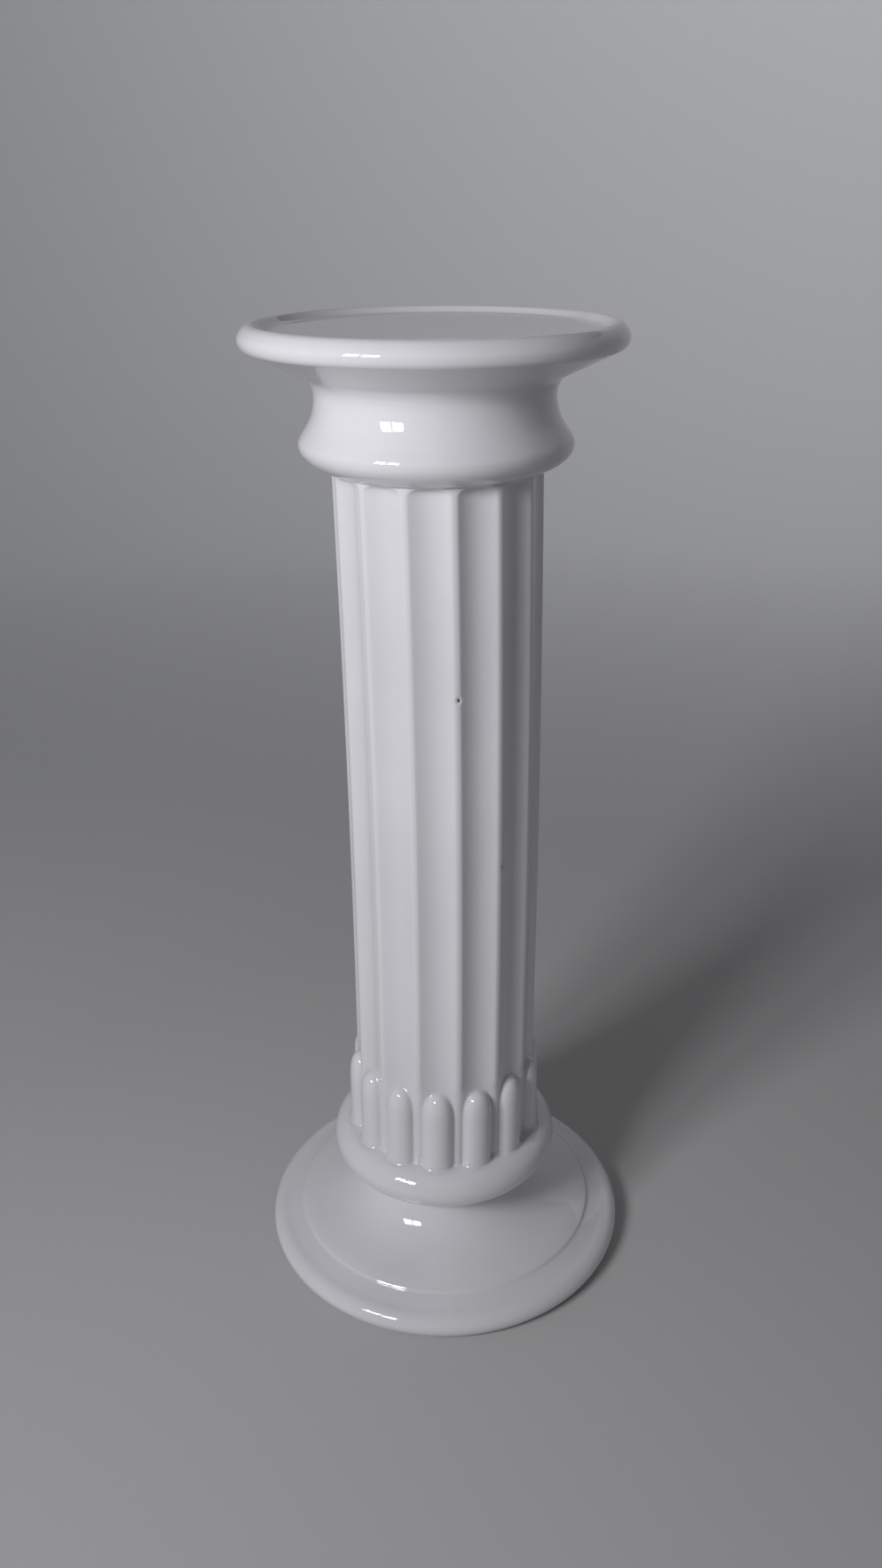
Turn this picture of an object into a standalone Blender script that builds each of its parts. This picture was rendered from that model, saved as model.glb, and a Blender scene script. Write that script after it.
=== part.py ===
"""Fluted pedestal column for a plant pot, slip cast in glazed ceramic.

The column is one hollow casting, open underneath. It stands on the flat ring under its foot,
and its top plate has a shallow round recess. Metres, +Z up, the origin on the floor under
the column's axis. The outer form is a stack of loops around the axis: round loops on the
turned parts, and loops that follow the flutes and the tongues on the shaft. The inner form
is worked out from the outer one, a wall's thickness inside it.
"""
import math

import bmesh
import bpy

# Foot: a rounded edge, a narrow sloping shelf, a small step and a hollow-sided dome
FOOT_RADIUS = 0.1303
FOOT_EDGE_THICKNESS = 0.0180
FOOT_EDGE_ROUNDING = 0.0110
SHELF_WIDTH = 0.0114
SHELF_RISE = 0.0034
STEP_RISE = 0.0022
STEP_WIDTH = 0.0011
DOME_START_SLOPE = math.radians(16.0)

# Ring: a fat round moulding that overhangs a deep neck, between the foot and the shaft
RING_LEVEL = 0.0809
RING_OVERHANG = 0.0118
RING_ROUNDING = 0.0143
RING_NECK_ANGLE = math.radians(-120.0)
RING_LEDGE = 0.0015

# Shaft: flutes with narrow ridges, and a round-topped tongue in the foot of each flute
SHAFT_LENGTH = 0.4870
SHAFT_RADIUS = 0.0635
FLUTES = 14
FLUTE_DEPTH = 0.0040
FLUTE_END_HEIGHT = 0.0060
FLUTE_END_SQUARENESS = 3.0
RIDGE_WIDTH = 0.0034
TONGUE_HEIGHT = 0.0731
TONGUE_DOME_HEIGHT = 0.0250
TONGUE_DOME_SQUARENESS = 3.6
TONGUE_MARGIN = 0.0018
TONGUE_RELIEF = 0.0055
TONGUE_EDGE_DEPTH = 0.0022

# Capital: a swelling, a waist and a round flare that runs into the sloping underside of the plate
SWELL_OVERHANG = 0.0180
SWELL_HEIGHT = 0.0146
SWELL_ROUNDING = 0.0300
WAIST_OVERHANG = 0.0074
WAIST_RISE = 0.0277
FLARE_ROUNDING = 0.0126
UNDERSIDE_SLOPE = math.radians(24.8)

# Plate: a rim whose face slants out to a low nose, and a shallow flat recess inside its crest
RIM_RADIUS = 0.1120
RIM_CREST_WIDTH = 0.0072
RIM_FACE_HEIGHT = 0.0080
RIM_NOSE_WIDTH = 0.0045
RIM_NOSE_HEIGHT = 0.0065
RECESS_SLOPE_WIDTH = 0.0056
RECESS_DEPTH = 0.0042

# Wall of the casting
WALL = 0.0080

# Fullness of the free curves, as shares of the stretch that each one bridges
DOME_LOWER_PULL = 0.92
DOME_UPPER_PULL = 0.50
OGEE_LOWER_PULL = 0.22
OGEE_UPPER_PULL = 0.62
RIM_FACE_PULL = 0.20
RIM_CREST_PULL = 0.62

# Fineness of the mesh: columns around the axis, and steps along each stretch
TURNED_COLUMNS = 48
INNER_COLUMNS = 28
FOOT_EDGE_STEPS = 8
DOME_STEPS = 8
RING_STEPS = 9
SWELL_STEPS = 5
OGEE_STEPS = 6
FLARE_STEPS = 4
RIM_NOSE_STEPS = 3
RIM_FACE_STEPS = 5
RECESS_SLOPE_STEPS = 3
TONGUE_COLUMNS = 3
TONGUE_DOME_STEPS = 5
TONGUE_TIP_SHARE = 0.16
COLUMN_SPREAD_HEIGHT = 0.0068
FLUTE_END_STEPS = 3
INNER_SAMPLE = 0.0020
INNER_TOLERANCE = 0.0007
OUTER_SAMPLE = 0.0010
SHARP_EDGE_ANGLE = math.radians(35.0)

# Radii and widths that follow from the sizes above
STEP_RADIUS = FOOT_RADIUS - FOOT_EDGE_ROUNDING - SHELF_WIDTH
TONGUE_RADIUS = SHAFT_RADIUS + TONGUE_RELIEF
RING_RADIUS = TONGUE_RADIUS + RING_OVERHANG
SWELL_RADIUS = SHAFT_RADIUS + SWELL_OVERHANG
WAIST_RADIUS = SHAFT_RADIUS + WAIST_OVERHANG
PITCH = 2.0 * math.pi * SHAFT_RADIUS / FLUTES
FLUTE_WIDTH = PITCH - RIDGE_WIDTH
TONGUE_WIDTH = FLUTE_WIDTH - 2.0 * TONGUE_MARGIN
TONGUE_EDGE_RADIUS = SHAFT_RADIUS - TONGUE_EDGE_DEPTH
CREST_RADIUS = RIM_RADIUS - RIM_CREST_WIDTH

# The underside of the plate: a cone that touches the flare's round below and the rim's nose above
NOSE_START = -math.atan2(RIM_NOSE_HEIGHT, RIM_NOSE_WIDTH * math.tan(UNDERSIDE_SLOPE))
NOSE_CENTRE_RADIUS = RIM_RADIUS - RIM_NOSE_WIDTH
UNDERSIDE_OUTER = NOSE_CENTRE_RADIUS + RIM_NOSE_WIDTH * math.cos(NOSE_START)
UNDERSIDE_INNER = WAIST_RADIUS + FLARE_ROUNDING * (1.0 - math.sin(UNDERSIDE_SLOPE))
UNDERSIDE_RISE = (UNDERSIDE_OUTER - UNDERSIDE_INNER) * math.tan(UNDERSIDE_SLOPE)

# Levels that follow from the sizes above
STEP_LEVEL = FOOT_EDGE_THICKNESS + SHELF_RISE
TONGUE_TOP = RING_LEVEL + TONGUE_HEIGHT
SHAFT_TOP = RING_LEVEL + SHAFT_LENGTH
SWELL_LEVEL = SHAFT_TOP + SWELL_HEIGHT
WAIST_LEVEL = SWELL_LEVEL + WAIST_RISE
FLARE_TOP = WAIST_LEVEL + FLARE_ROUNDING * math.cos(UNDERSIDE_SLOPE)
NOSE_LEVEL = FLARE_TOP + UNDERSIDE_RISE - RIM_NOSE_HEIGHT * math.sin(NOSE_START)
TOP = NOSE_LEVEL + RIM_FACE_HEIGHT
RECESS_FLOOR = TOP - RECESS_DEPTH
CEILING = RECESS_FLOOR - WALL

QUARTER = math.pi / 2.0
GLAZE_COLOUR = (0.80, 0.79, 0.81, 1.0)
GLAZE_ROUGHNESS = 0.08


def ellipse(centre, across, up, start, end, steps):
    """Points (radius, height) along part of an ellipse, from one angle to another."""
    points = []
    for i in range(steps + 1):
        angle = start + (end - start) * i / steps
        points.append((centre[0] + across * math.cos(angle), centre[1] + up * math.sin(angle)))
    return points


def bezier(a, b, c, d, steps):
    """Points along a cubic curve from a to d, pulled towards b and c."""
    points = []
    for i in range(steps + 1):
        t = i / steps
        s = 1.0 - t
        weights = (s ** 3, 3.0 * s * s * t, 3.0 * s * t * t, t ** 3)
        points.append(tuple(sum(w * p[k] for w, p in zip(weights, (a, b, c, d))) for k in (0, 1)))
    return points


def ring_top_angle():
    """Where on the ring's round the shaft stands: just outside the tongues."""
    return math.acos(1.0 - (RING_OVERHANG - RING_LEDGE) / RING_ROUNDING)


def ring_top():
    """Height at which the shaft stands on the ring."""
    return RING_LEVEL + RING_ROUNDING * math.sin(ring_top_angle())


def foot_profile():
    """From the inner edge of the standing ring, round the foot and up the dome to the ring."""
    half = FOOT_EDGE_THICKNESS / 2.0
    edge_centre = (FOOT_RADIUS - FOOT_EDGE_ROUNDING, half)
    edge = ellipse(edge_centre, FOOT_EDGE_ROUNDING, half, -QUARTER, QUARTER, FOOT_EDGE_STEPS)
    ring_centre = (RING_RADIUS - RING_ROUNDING, RING_LEVEL)
    ring = ellipse(ring_centre, RING_ROUNDING, RING_ROUNDING, RING_NECK_ANGLE, ring_top_angle(), RING_STEPS)
    step_foot = (STEP_RADIUS + STEP_WIDTH / 2.0, STEP_LEVEL)
    step_head = (STEP_RADIUS - STEP_WIDTH / 2.0, STEP_LEVEL + STEP_RISE)
    neck = ring[0]
    inward = (step_head[0] - neck[0]) * DOME_LOWER_PULL
    lower_pull = (step_head[0] - inward, step_head[1] + inward * math.tan(DOME_START_SLOPE))
    upper_pull = (neck[0], neck[1] - (neck[1] - step_head[1]) * DOME_UPPER_PULL)
    dome = bezier(step_head, lower_pull, upper_pull, neck, DOME_STEPS)
    return edge + [step_foot] + dome + ring[1:]


def capital_profile():
    """From the top of the shaft, out over the swell, in to the waist and out to the rim."""
    start = -math.acos(1.0 - SWELL_OVERHANG / SWELL_ROUNDING)
    swell_centre = (SWELL_RADIUS - SWELL_ROUNDING, SWELL_LEVEL)
    swell = ellipse(swell_centre, SWELL_ROUNDING, SWELL_HEIGHT / math.sin(-start), start, 0.0, SWELL_STEPS)
    nose = swell[-1]
    waist = (WAIST_RADIUS, WAIST_LEVEL)
    lower_pull = (nose[0], nose[1] + WAIST_RISE * OGEE_LOWER_PULL)
    upper_pull = (waist[0], waist[1] - WAIST_RISE * OGEE_UPPER_PULL)
    ogee = bezier(nose, lower_pull, upper_pull, waist, OGEE_STEPS)
    flare_centre = (WAIST_RADIUS + FLARE_ROUNDING, WAIST_LEVEL)
    flare_end = QUARTER + UNDERSIDE_SLOPE
    flare = ellipse(flare_centre, FLARE_ROUNDING, FLARE_ROUNDING, math.pi, flare_end, FLARE_STEPS)
    rim_centre = (NOSE_CENTRE_RADIUS, NOSE_LEVEL)
    rim_nose = ellipse(rim_centre, RIM_NOSE_WIDTH, RIM_NOSE_HEIGHT, NOSE_START, 0.0, RIM_NOSE_STEPS)
    crest = (CREST_RADIUS, TOP)
    face_pull = (RIM_RADIUS, NOSE_LEVEL + RIM_FACE_HEIGHT * RIM_FACE_PULL)
    crest_pull = (CREST_RADIUS + RIM_CREST_WIDTH * RIM_CREST_PULL, TOP)
    rim_face = bezier(rim_nose[-1], face_pull, crest_pull, crest, RIM_FACE_STEPS)
    slope = []
    for i in range(1, RECESS_SLOPE_STEPS + 1):
        share = i / RECESS_SLOPE_STEPS
        height = RECESS_DEPTH * (1.0 + math.cos(math.pi * share)) / 2.0
        slope.append((CREST_RADIUS - RECESS_SLOPE_WIDTH * share, RECESS_FLOOR + height))
    return swell[1:] + ogee[1:] + flare[1:] + rim_nose + rim_face[1:] + slope


def flute_columns(spread):
    """Places of the mesh's columns across one flute, measured around the shaft from its middle."""
    ridge = FLUTE_WIDTH / 2.0
    tongue = []
    for i in range(TONGUE_COLUMNS):
        tongue.append(TONGUE_WIDTH / 2.0 * spread * math.sin(QUARTER * (i + 1) / TONGUE_COLUMNS))
    return [-PITCH / 2.0, -ridge] + [-x for x in reversed(tongue)] + [0.0] + tongue + [ridge]


def flute_radius(x, z):
    """Radius of the shaft at a distance around it from a flute's middle, and at a height."""
    rise = min(1.0, max(0.0, (z - SHAFT_TOP + FLUTE_END_HEIGHT) / FLUTE_END_HEIGHT))
    closing = (1.0 - rise ** FLUTE_END_SQUARENESS) ** (1.0 / FLUTE_END_SQUARENESS)
    reach = FLUTE_WIDTH / 2.0 * closing
    radius = SHAFT_RADIUS
    if abs(x) < reach:
        radius -= FLUTE_DEPTH * closing * (1.0 - (x / reach) ** 2)
    up = max(0.0, (z - TONGUE_TOP + TONGUE_DOME_HEIGHT) / TONGUE_DOME_HEIGHT)
    inside = max(0.0, 1.0 - (2.0 * x / TONGUE_WIDTH) ** 2 - up ** TONGUE_DOME_SQUARENESS)
    tongue = TONGUE_EDGE_RADIUS + (TONGUE_RADIUS - TONGUE_EDGE_RADIUS) * math.sqrt(inside)
    return max(radius, tongue) if inside > 0.0 else radius


def fluted_loop(mesh, z, spread=1.0):
    """One loop of vertices around the fluted shaft. A flute's middle faces -Y."""
    loop = []
    for flute in range(FLUTES):
        for x in flute_columns(spread):
            angle = 2.0 * math.pi * flute / FLUTES + x / SHAFT_RADIUS - QUARTER
            radius = flute_radius(x, z)
            loop.append(mesh.verts.new((radius * math.cos(angle), radius * math.sin(angle), z)))
    return loop


def shaft_loops(mesh):
    """Loops of the fluted part, from the ring up to where the flutes have died out."""
    loops = [fluted_loop(mesh, ring_top())]
    for i in range(TONGUE_DOME_STEPS + 1):
        up = math.sin(QUARTER * i / TONGUE_DOME_STEPS)
        z = TONGUE_TOP - TONGUE_DOME_HEIGHT * (1.0 - up)
        share = math.sqrt(1.0 - up ** TONGUE_DOME_SQUARENESS)
        loops.append(fluted_loop(mesh, z, max(TONGUE_TIP_SHARE, share)))
    loops.append(fluted_loop(mesh, TONGUE_TOP + COLUMN_SPREAD_HEIGHT))
    for i in range(FLUTE_END_STEPS + 1):
        closed = math.sin(QUARTER * i / FLUTE_END_STEPS)
        loops.append(fluted_loop(mesh, SHAFT_TOP - FLUTE_END_HEIGHT * (1.0 - closed)))
    return loops


def round_loop(mesh, radius, z, columns):
    """One round loop of vertices, which starts at -Y as the fluted loops do."""
    loop = []
    for i in range(columns):
        angle = 2.0 * math.pi * i / columns - QUARTER
        loop.append(mesh.verts.new((radius * math.cos(angle), radius * math.sin(angle), z)))
    return loop


def turns(loop):
    """Angles of a loop's vertices, counted up from -Y. The first may lie just before it."""
    angles = []
    for index, vertex in enumerate(loop):
        turn = (math.atan2(vertex.co.y, vertex.co.x) + QUARTER) % (2.0 * math.pi)
        if index < len(loop) / 4 and turn > math.pi:
            turn -= 2.0 * math.pi
        angles.append(turn)
    return angles + [2.0 * math.pi]


def stitch(mesh, lower, upper):
    """Close the band between two loops, which may have different numbers of vertices."""
    if len(lower) == len(upper):
        for i in range(len(lower)):
            j = (i + 1) % len(lower)
            mesh.faces.new((lower[i], lower[j], upper[j], upper[i]))
        return
    low = turns(lower)
    high = turns(upper)
    i = 0
    j = 0
    while i < len(lower) or j < len(upper):
        a = lower[i % len(lower)]
        b = upper[j % len(upper)]
        if i < len(lower) and (j == len(upper) or low[i] + low[i + 1] <= high[j] + high[j + 1]):
            mesh.faces.new((a, lower[(i + 1) % len(lower)], b))
            i += 1
        else:
            mesh.faces.new((a, upper[(j + 1) % len(upper)], b))
            j += 1


def stack(mesh, loops):
    """Stitch each loop to the next."""
    for lower, upper in zip(loops, loops[1:]):
        stitch(mesh, lower, upper)


def dense(profile):
    """The profile with extra points on its straight stretches."""
    points = []
    for (r0, z0), (r1, z1) in zip(profile, profile[1:]):
        steps = max(1, int(math.hypot(r1 - r0, z1 - z0) / OUTER_SAMPLE))
        points += [(r0 + (r1 - r0) * i / steps, z0 + (z1 - z0) * i / steps) for i in range(steps)]
    return points + [profile[-1]]


def thinned(points):
    """The fewest of the points that keep the line within the tolerance."""
    (r0, z0), (r1, z1) = points[0], points[-1]
    length = math.hypot(r1 - r0, z1 - z0)
    away = [abs((r - r0) * (z1 - z0) - (z - z0) * (r1 - r0)) / length for r, z in points[1:-1]]
    if not away or max(away) < INNER_TOLERANCE:
        return [points[0], points[-1]]
    corner = away.index(max(away)) + 1
    return thinned(points[:corner + 1])[:-1] + thinned(points[corner:])


def inner_profile():
    """Radius of the hollow from the floor to its ceiling, a wall inside every outer point."""
    flute_floor = SHAFT_RADIUS - FLUTE_DEPTH
    shaft = [(flute_floor, ring_top()), (flute_floor, SHAFT_TOP)]
    outer = dense(foot_profile() + shaft + capital_profile())
    mouth = FOOT_RADIUS - FOOT_EDGE_ROUNDING - WALL
    count = int(CEILING / INNER_SAMPLE)
    points = []
    for i in range(count + 1):
        z = CEILING * i / count
        near = [r - math.sqrt(WALL ** 2 - (z - h) ** 2) for r, h in outer if abs(z - h) < WALL]
        points.append((min(near + [mouth]), z))
    return thinned(points)


def glaze_material():
    """White glossy glaze."""
    material = bpy.data.materials.new("white_glaze")
    material.use_nodes = True
    shader = material.node_tree.nodes["Principled BSDF"]
    shader.inputs["Base Color"].default_value = GLAZE_COLOUR
    shader.inputs["Roughness"].default_value = GLAZE_ROUGHNESS
    shader.inputs["Metallic"].default_value = 0.0
    return material


def pedestal_column():
    """The whole casting as one closed body."""
    mesh = bmesh.new()
    foot = [round_loop(mesh, r, z, TURNED_COLUMNS) for r, z in foot_profile()]
    shaft = shaft_loops(mesh)
    capital = [round_loop(mesh, r, z, TURNED_COLUMNS) for r, z in capital_profile()]
    hollow = [round_loop(mesh, r, z, INNER_COLUMNS) for r, z in inner_profile()]
    stack(mesh, foot + shaft + capital)
    mesh.faces.new(capital[-1])
    stack(mesh, hollow)
    mesh.faces.new(hollow[-1])
    stitch(mesh, foot[0], hollow[0])
    bmesh.ops.recalc_face_normals(mesh, faces=mesh.faces)
    data = bpy.data.meshes.new("pedestal_column")
    mesh.to_mesh(data)
    mesh.free()
    data.shade_smooth()
    data.set_sharp_from_angle(angle=SHARP_EDGE_ANGLE)
    data.materials.append(glaze_material())
    column = bpy.data.objects.new("pedestal_column", data)
    bpy.context.collection.objects.link(column)
    return column


for leftover in list(bpy.data.objects):
    bpy.data.objects.remove(leftover)

pedestal_column()
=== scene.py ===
"""Looks of the fluted pedestal column: glazed ceramic in a pale studio, seen as photographed.

Metres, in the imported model's frame: +Z up, the origin on the floor under the column's axis.
The whole casting is one finely meshed piece. Its turned parts are profiles swept around the
axis. Its shaft is a height field of one flute, repeated around the axis, whose edges are
softened as a coat of glaze softens them. Small differences from flute to flute, a slight
waviness of the walls and two chips make it a cast and used thing.
"""
import math

import bpy
import numpy as np
from mathutils import Matrix, Vector


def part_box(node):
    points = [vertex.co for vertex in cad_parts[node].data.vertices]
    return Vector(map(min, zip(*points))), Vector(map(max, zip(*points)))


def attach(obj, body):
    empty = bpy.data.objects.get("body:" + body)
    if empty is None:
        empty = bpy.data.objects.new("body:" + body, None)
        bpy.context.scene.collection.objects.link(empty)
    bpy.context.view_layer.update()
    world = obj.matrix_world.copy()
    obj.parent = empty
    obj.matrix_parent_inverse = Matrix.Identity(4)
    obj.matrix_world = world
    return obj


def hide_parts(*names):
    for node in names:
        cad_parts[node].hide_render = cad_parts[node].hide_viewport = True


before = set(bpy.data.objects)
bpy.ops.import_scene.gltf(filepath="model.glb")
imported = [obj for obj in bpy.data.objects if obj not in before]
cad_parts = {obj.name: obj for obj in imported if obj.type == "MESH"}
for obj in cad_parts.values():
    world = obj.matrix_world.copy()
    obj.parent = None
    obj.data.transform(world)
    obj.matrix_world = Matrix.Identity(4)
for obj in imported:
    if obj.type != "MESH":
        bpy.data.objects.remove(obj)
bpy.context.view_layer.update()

COLUMN_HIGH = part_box("pedestal_column")[1]

# Foot
FOOT_RADIUS = COLUMN_HIGH.x
FOOT_EDGE_THICKNESS = 0.0180
FOOT_EDGE_ROUNDING = 0.0110
SHELF_WIDTH = 0.0114
SHELF_RISE = 0.0034
STEP_RISE = 0.0022
STEP_WIDTH = 0.0011
DOME_START_SLOPE = math.radians(16.0)
DOME_LOWER_PULL = 0.92
DOME_UPPER_PULL = 0.50

# Ring
RING_LEVEL = 0.0809
RING_OVERHANG = 0.0118
RING_ROUNDING = 0.0143
RING_NECK_ANGLE = math.radians(-120.0)

# Shaft
SHAFT_RADIUS = 0.0635
FLUTES = 14
FLUTE_DEPTH = 0.0040
FLUTE_END_HEIGHT = 0.0060
FLUTE_END_SQUARENESS = 3.0
FLUTE_END_MARGIN = 0.0006
RIDGE_WIDTH = 0.0034
TONGUE_HEIGHT = 0.0731
TONGUE_DOME_HEIGHT = 0.0250
TONGUE_DOME_SQUARENESS = 3.6
TONGUE_MARGIN = 0.0018
TONGUE_RELIEF = 0.0055
TONGUE_EDGE_DEPTH = 0.0022
SHAFT_FILLET = 0.0024
RING_LEDGE = 0.0012

# Capital and plate, measured down from the top. Thick glaze widens the rim's crest and inner slope
SWELL_OVERHANG = 0.0180
SWELL_HEIGHT = 0.0146
SWELL_ROUNDING = 0.0300
WAIST_OVERHANG = 0.0074
WAIST_RISE = 0.0277
OGEE_LOWER_PULL = 0.22
OGEE_UPPER_PULL = 0.62
FLARE_ROUNDING = 0.0126
UNDERSIDE_SLOPE = math.radians(24.8)
RIM_RADIUS = 0.1120
RIM_CREST_WIDTH = 0.0082
RIM_FACE_HEIGHT = 0.0080
RIM_NOSE_WIDTH = 0.0045
RIM_NOSE_HEIGHT = 0.0065
RIM_FACE_PULL = 0.20
RIM_CREST_PULL = 0.62
RECESS_SLOPE_WIDTH = 0.0078
RECESS_DEPTH = 0.0042
PLATE_CENTRE_RADIUS = 0.0040
WALL = 0.0080

WAIST_RADIUS = SHAFT_RADIUS + WAIST_OVERHANG
CREST_RADIUS = RIM_RADIUS - RIM_CREST_WIDTH
NOSE_START = -math.atan2(RIM_NOSE_HEIGHT, RIM_NOSE_WIDTH * math.tan(UNDERSIDE_SLOPE))
NOSE_CENTRE_RADIUS = RIM_RADIUS - RIM_NOSE_WIDTH
UNDERSIDE_OUTER = NOSE_CENTRE_RADIUS + RIM_NOSE_WIDTH * math.cos(NOSE_START)
UNDERSIDE_INNER = WAIST_RADIUS + FLARE_ROUNDING * (1.0 - math.sin(UNDERSIDE_SLOPE))
UNDERSIDE_RISE = (UNDERSIDE_OUTER - UNDERSIDE_INNER) * math.tan(UNDERSIDE_SLOPE)

TOP = COLUMN_HIGH.z
RECESS_FLOOR = TOP - RECESS_DEPTH
NOSE_LEVEL = TOP - RIM_FACE_HEIGHT
FLARE_TOP = NOSE_LEVEL + RIM_NOSE_HEIGHT * math.sin(NOSE_START) - UNDERSIDE_RISE
WAIST_LEVEL = FLARE_TOP - FLARE_ROUNDING * math.cos(UNDERSIDE_SLOPE)
SWELL_LEVEL = WAIST_LEVEL - WAIST_RISE
SHAFT_TOP = SWELL_LEVEL - SWELL_HEIGHT
FLUTE_END = SHAFT_TOP - FLUTE_END_MARGIN
TONGUE_TOP = RING_LEVEL + TONGUE_HEIGHT
TONGUE_SHOULDER = TONGUE_TOP - TONGUE_DOME_HEIGHT
TONGUE_RADIUS = SHAFT_RADIUS + TONGUE_RELIEF
TONGUE_EDGE_RADIUS = SHAFT_RADIUS - TONGUE_EDGE_DEPTH
RING_RADIUS = TONGUE_RADIUS + RING_OVERHANG
RING_CENTRE = RING_RADIUS - RING_ROUNDING
RING_CREST = RING_LEVEL + RING_ROUNDING
STEP_RADIUS = FOOT_RADIUS - FOOT_EDGE_ROUNDING - SHELF_WIDTH
STEP_LEVEL = FOOT_EDGE_THICKNESS + SHELF_RISE
LEDGE_RADIUS = TONGUE_RADIUS + SHAFT_FILLET + RING_LEDGE
MOUTH_RADIUS = FOOT_RADIUS - FOOT_EDGE_ROUNDING - WALL
PITCH = 2.0 * math.pi * SHAFT_RADIUS / FLUTES
FLUTE_WIDTH = PITCH - RIDGE_WIDTH
TONGUE_WIDTH = FLUTE_WIDTH - 2.0 * TONGUE_MARGIN
QUARTER = math.pi / 2.0

# Glaze: how far it rounds the edges, and how wide a hollow it pools in; the pooling also paints shade
# into the hollows
PROFILE_SOFTENING = 0.0007
FLUTE_SOFTENING = 0.0007
POOL_AND_SHADE_REACH = 0.0030
POOL_AND_SHADE_DEPTH = 0.0010

# Hand and kiln: how uneven the casting is, and how it leans and bows
WALL_WAVE = 0.00025
RIDGE_WANDER = 0.0035
TONGUE_TOP_WANDER = 0.0007
BOW_LEAN = 0.0123
BOW_CURVE = 0.0290
EVEN_FOOT_HEIGHT = 0.020
FOOT_FADE_HEIGHT = 0.040
TOP_FADE_HEIGHT = 0.020
LIFT_FADE_HEIGHT = 0.020
NOISE_TURNS = 6
NOISE_RISES = 3
NOISE_RISE_STEP = 7.0
SEED = 14

# Where the camera stands around the column, from -Y towards +X
VIEW_AZIMUTH = math.radians(4.5)

# The two chips: angle from -Y, height, half width, half height, depth
CHIPS = (
    (math.radians(13.5), 0.4426, 0.0013, 0.0019, 0.0007),
    (math.radians(40.8), 0.3248, 0.0008, 0.0022, 0.0005),
)
CHIP_SPREAD = 2.0

# Colours of the glaze, its pooling with painted shade in the hollows, the pinholes, the chips and the
# bare clay
GLAZE_COOL = (0.735, 0.722, 0.745, 1.0)
GLAZE_WARM = (0.785, 0.765, 0.782, 1.0)
GLAZE_MOTTLE = (0.64, 0.62, 0.64, 1.0)
# Pooled glaze, darker in hollows and creases: partly the glaze's own pooling, partly painted shade
GLAZE_POOLED_AND_SHADED = (0.63, 0.615, 0.635, 1.0)
GLAZE_THIN = (0.80, 0.775, 0.770, 1.0)
PINHOLE = (0.30, 0.26, 0.23, 1.0)
CHIP = (0.10, 0.09, 0.085, 1.0)
CHIP_RIM = (0.78, 0.75, 0.72, 1.0)
CLAY_DARK = (0.50, 0.44, 0.37, 1.0)
CLAY_LIGHT = (0.68, 0.62, 0.54, 1.0)

# Grain of the glaze and the clay: noise scales per metre
CLOUD_SCALE = 9.0
GLOSS_SCALE = 24.0
WAVE_SCALE = 42.0
MOTTLE_SCALE = 70.0
PINHOLE_SCALE = 90.0
PEEL_SCALE = 330.0
CLAY_SCALE = 420.0
RAGGED_SCALE = 900.0

# How strongly each tint of the glaze shows, and how shiny and bumpy it is
CLOUD_RANGE = (0.35, 0.65)
MOTTLE_RANGE = (0.35, 0.75)
MOTTLE_SHARE = 0.10
# How strongly the pooled glaze and its painted shade darken the hollows
POOLED_AND_SHADED_RANGE = (0.05, 1.0)
POOLED_AND_SHADED_SHARE = 0.45
THIN_RANGE = (-0.15, -1.0)
THIN_SHARE = 0.35
PINHOLE_SHARE = 0.70
PINHOLE_EDGE = (0.018, 0.034)
PINHOLE_RARITY = (0.90, 0.91)
CHIP_CORE = (1.0, 1.3)
CHIP_EDGE = (1.6, 2.0)
GLOSS_RANGE = (0.30, 0.70)
GLOSS_ROUGHNESS = (0.012, 0.038)
BARE_ROUGHNESS = 0.75
GLAZE_IOR = 1.58
WAVE_STRENGTH = 0.20
WAVE_HEIGHT = 0.0006
PEEL_STRENGTH = 0.10
PEEL_HEIGHT = 0.0001
PIT_STRENGTH = -0.6
PIT_HEIGHT = 0.0004
CLAY_STRENGTH = 0.5
CLAY_HEIGHT = 0.0004
GLAZE_LINE = 0.0012
GLAZE_LINE_WIDTH = 0.0008

# Fineness of the mesh
PROFILE_SAMPLE = 0.0002
PROFILE_TOLERANCE = 0.00005
HOLLOW_TOLERANCE = 0.0006
FIELD_SAMPLE = 0.00025
FIELD_MARGIN = 0.0020
HOLLOW_SAMPLE = 0.0010
HOLLOW_STEPS = 320
SLOPE_STEPS = 24
CREASE_SAMPLES = 4001
TONGUE_COLUMNS = 7
TONGUE_TIP_SHARE = 0.12
FLUTE_TIP_SHARE = 0.24
COLUMN_SPREAD_HEIGHT = 0.0070

# Rows of the mesh on each stretch of the shaft, and how the stretches meet
FILLET_ROWS = 8
TONGUE_ROWS = 8
TONGUE_TOP_ROWS = 26
TONGUE_TOP_CROWDING = 1.8
SPREAD_ROWS = 7
SHAFT_ROWS = 24
CHIP_ROWS = 11
CHIP_ROWS_REACH = 1.8
CHIP_ROWS_CLEAR = 2.5
FLUTE_END_ROWS = 14
LEDGE_SHARES = (0.35, 0.7)
TONGUE_START = 0.0015
SPREAD_START = 0.0006
SHAFT_START = 0.0140
SHAFT_STOP = 0.0020
END_GAP = 0.0001

# Stage: a floor that curves up into a round wall. It is darker near the column, which keeps the light it
# throws onto the column low, and painted paler far off, where less light reaches it
STAGE_RADIUS = 3.2
STAGE_BEND = 1.4
STAGE_WALL = 2.4
STAGE_DISC = 0.4
STAGE_DROP = 0.0002
STAGE_SIDES = 96
STAGE_BEND_STEPS = 32
FLOOR_NEAR = (0.56, 0.55, 0.54, 1.0)
# Painted lighter far off, to even out the dimmer light on the far floor and wall
FLOOR_FAR_PAINTED_LIGHTER = (0.80, 0.80, 0.81, 1.0)
FLOOR_NEAR_END = 0.4
FLOOR_FAR_START = 2.0
FLOOR_ROUGHNESS = 0.75

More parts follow.
